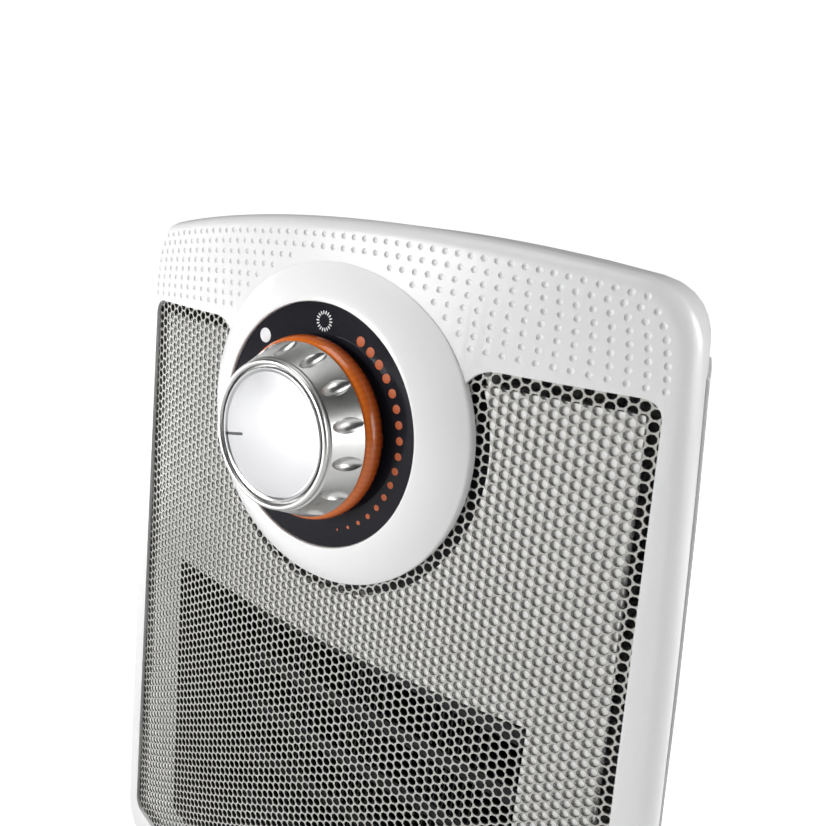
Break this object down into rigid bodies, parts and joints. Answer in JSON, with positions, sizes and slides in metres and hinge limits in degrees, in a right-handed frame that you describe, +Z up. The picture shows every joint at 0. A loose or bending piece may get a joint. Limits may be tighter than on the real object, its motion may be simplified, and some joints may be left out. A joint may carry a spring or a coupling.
{
  "type": "fan heater",
  "caption": "Upright ceramic fan heater with a curved perforated front, arched white housing and a large scalloped thermostat knob on a round dial.",
  "frame": {"origin": "on the floor, below the middle of the bounding box", "axes": "+Z up, -Y out of the grille and the knob towards the user, +X to the user's right"},
  "size_m": [0.204, 0.132, 0.253],
  "materials": {
    "white_plastic": "semi-gloss moulded housing with fine mould texture",
    "white_gloss": "glossy moulded ring",
    "white_frame": "plain matt moulding seen through the grille",
    "grille_metal": "satin light grey powder coat on perforated sheet",
    "dial_gloss": "glossy near-black dial",
    "base_plastic": "matt moulding",
    "rubber": "matt rubber",
    "black_plastic": "matt heat-resistant moulding",
    "aluminium": "bare sheet and extrusion",
    "brass": "plain",
    "motor_steel": "zinc-plated sheet",
    "bright_steel": "bright zinc plate",
    "cream_plastic": "matt thermoset",
    "knob_satin": "satin silver plating",
    "knob_face": "satin spun aluminium",
    "amber": "translucent amber moulding"
  },
  "bodies": {
    "housing": {"front_panel": "white_plastic", "front_mesh": "grille_metal", "outlet_frame": "white_frame", "dial_bezel": "white_gloss", "dial_plate": "dial_gloss", "rear_shell": "white_plastic", "rear_grille": "white_plastic", "base_plate": "base_plastic", "rubber_feet": "rubber", "heater_frame": "black_plastic", "ptc_bars": "aluminium", "ptc_fins": "aluminium", "heater_terminals": "brass", "thermal_cutout": "black_plastic", "fan_shroud": "black_plastic", "motor_can": "motor_steel", "motor_stator": "motor_steel", "motor_bearings": "brass", "thermostat": "cream_plastic", "thermostat_nut": "bright_steel", "terminal_block": "cream_plastic", "tilt_switch": "black_plastic", "cord_gland": "black_plastic", "housing_screws": "bright_steel", "shroud_screws": "bright_steel", "motor_screws": "bright_steel"},
    "knob": {"knob_body": "knob_satin", "knob_cap": "knob_face", "amber_ring": "amber", "thermostat_shaft": "bright_steel"},
    "fan": {"fan_impeller": "black_plastic", "motor_shaft": "bright_steel", "motor_rotor": "motor_steel", "impeller_clip": "motor_steel"}
  },
  "joints": [
    {"name": "knob_turn", "type": "hinge", "parent": "housing", "child": "knob", "pos_m": [0, -0.0499, 0.2], "axis": [0, 1, 0], "range_deg": [0, 252]},
    {"name": "fan_spin", "type": "hinge", "parent": "housing", "child": "fan", "pos_m": [0, 0.0125, 0.087], "axis": [0, 1, 0], "continuous": true}
  ]
}
